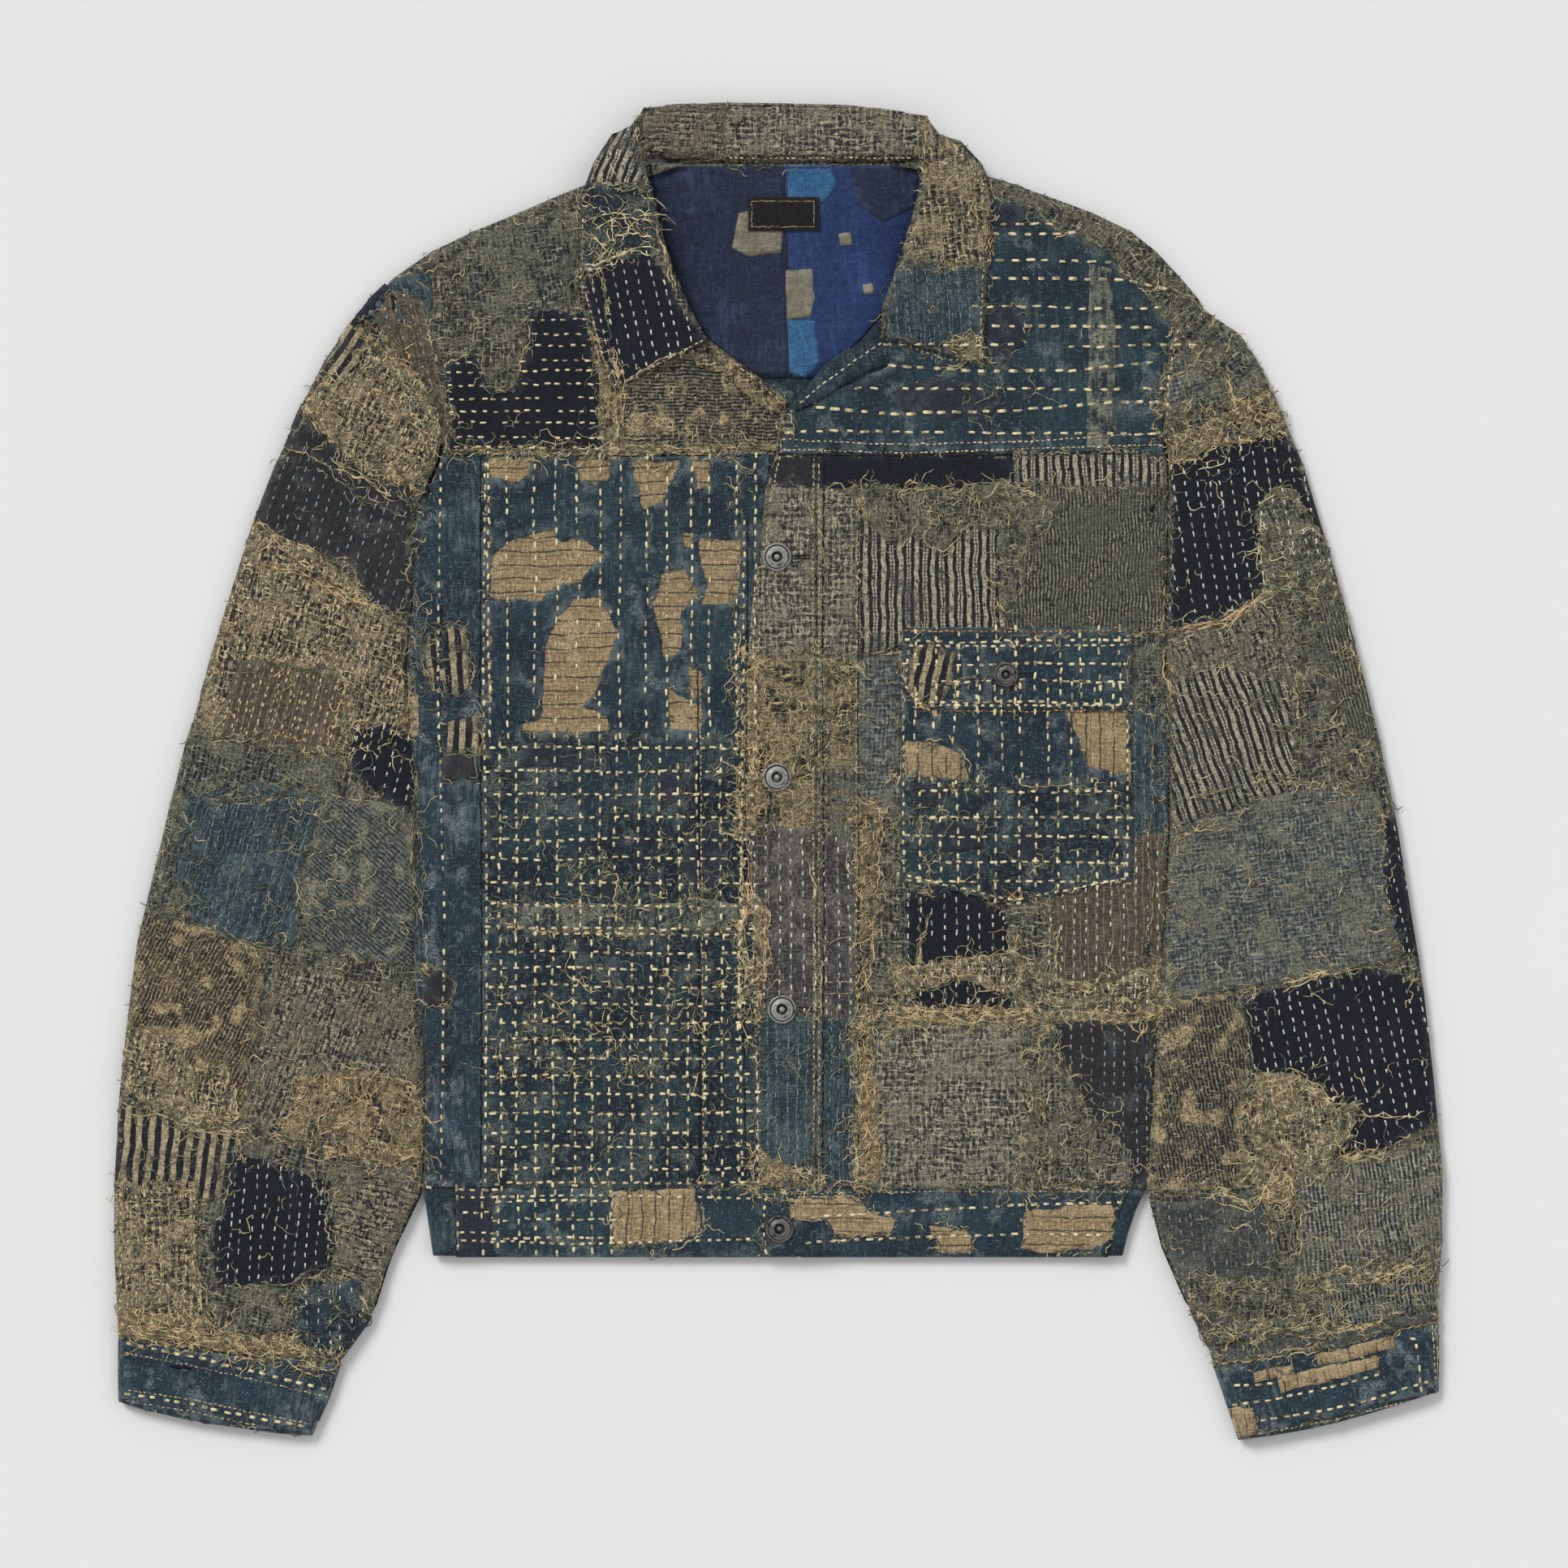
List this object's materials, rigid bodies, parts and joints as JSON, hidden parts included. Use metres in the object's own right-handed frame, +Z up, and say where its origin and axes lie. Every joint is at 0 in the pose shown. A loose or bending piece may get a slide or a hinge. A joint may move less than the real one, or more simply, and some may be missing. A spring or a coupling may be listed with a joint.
{
  "type": "patched boro jacket",
  "caption": "Short patchwork work jacket laid flat on its back, with turned-down collar, buttoned placket, one flapped chest pocket, long cuffed sleeves and a waistband.",
  "frame": {"origin": "on the floor under the middle of the laid-out jacket, at the centre of its outline", "axes": "+Z up from the floor, out of the jacket's front; +Y from hem to collar; +X towards the wearer's left sleeve"},
  "size_m": [0.7826, 0.7878, 0.0255],
  "materials": {
    "back_cloth": "heavy quilted indigo cotton, worn and dry",
    "front_cloth": "indigo patchwork with running stitches and worn holes",
    "left_front_cloth": "patchwork of striped and gauze-like cottons, frayed",
    "yoke_right_cloth": "navy and grey-green patchwork, stitched and frayed",
    "yoke_left_cloth": "indigo cotton with bold rows of running stitch",
    "placket_cloth": "grey and olive patchwork, frayed",
    "sleeve_cloth": "patchwork of brown, indigo and striped cottons, frayed",
    "cuff_cloth": "indigo cotton with two rows of running stitch",
    "collar_cloth": "grey-green and navy patchwork, frayed",
    "waistband_cloth": "indigo and khaki patchwork band",
    "pocket_cloth": "indigo, striped and khaki patches with grid stitching",
    "lining_navy": "printed cotton lining, smooth",
    "lining_blue": "printed cotton lining, smooth",
    "label_cloth": "woven label, bare",
    "button_metal": "worn silver-grey tack button",
    "button_dark_metal": "dark oxidised tack button"
  },
  "bodies": {
    "root": {"back": "back_cloth", "back_yoke": "back_cloth", "front_right": "front_cloth", "side_panel_right": "front_cloth", "front_left": "left_front_cloth", "yoke_right": "yoke_right_cloth", "yoke_left": "yoke_left_cloth", "placket": "placket_cloth", "sleeve_right": "sleeve_cloth", "sleeve_left": "sleeve_cloth", "cuff_right": "cuff_cloth", "cuff_left": "cuff_cloth", "collar": "collar_cloth", "neck_band_right": "collar_cloth", "neck_band_left": "collar_cloth", "waistband_right": "waistband_cloth", "waistband_left": "waistband_cloth", "waistband_back": "waistband_cloth", "pocket": "pocket_cloth", "pocket_flap": "pocket_cloth", "lining_right": "lining_navy", "lining_left": "lining_blue", "label": "label_cloth", "button_1": "button_metal", "button_2": "button_metal", "button_3": "button_metal", "button_waist": "button_dark_metal", "button_flap": "button_dark_metal"}
  },
  "joints": []
}
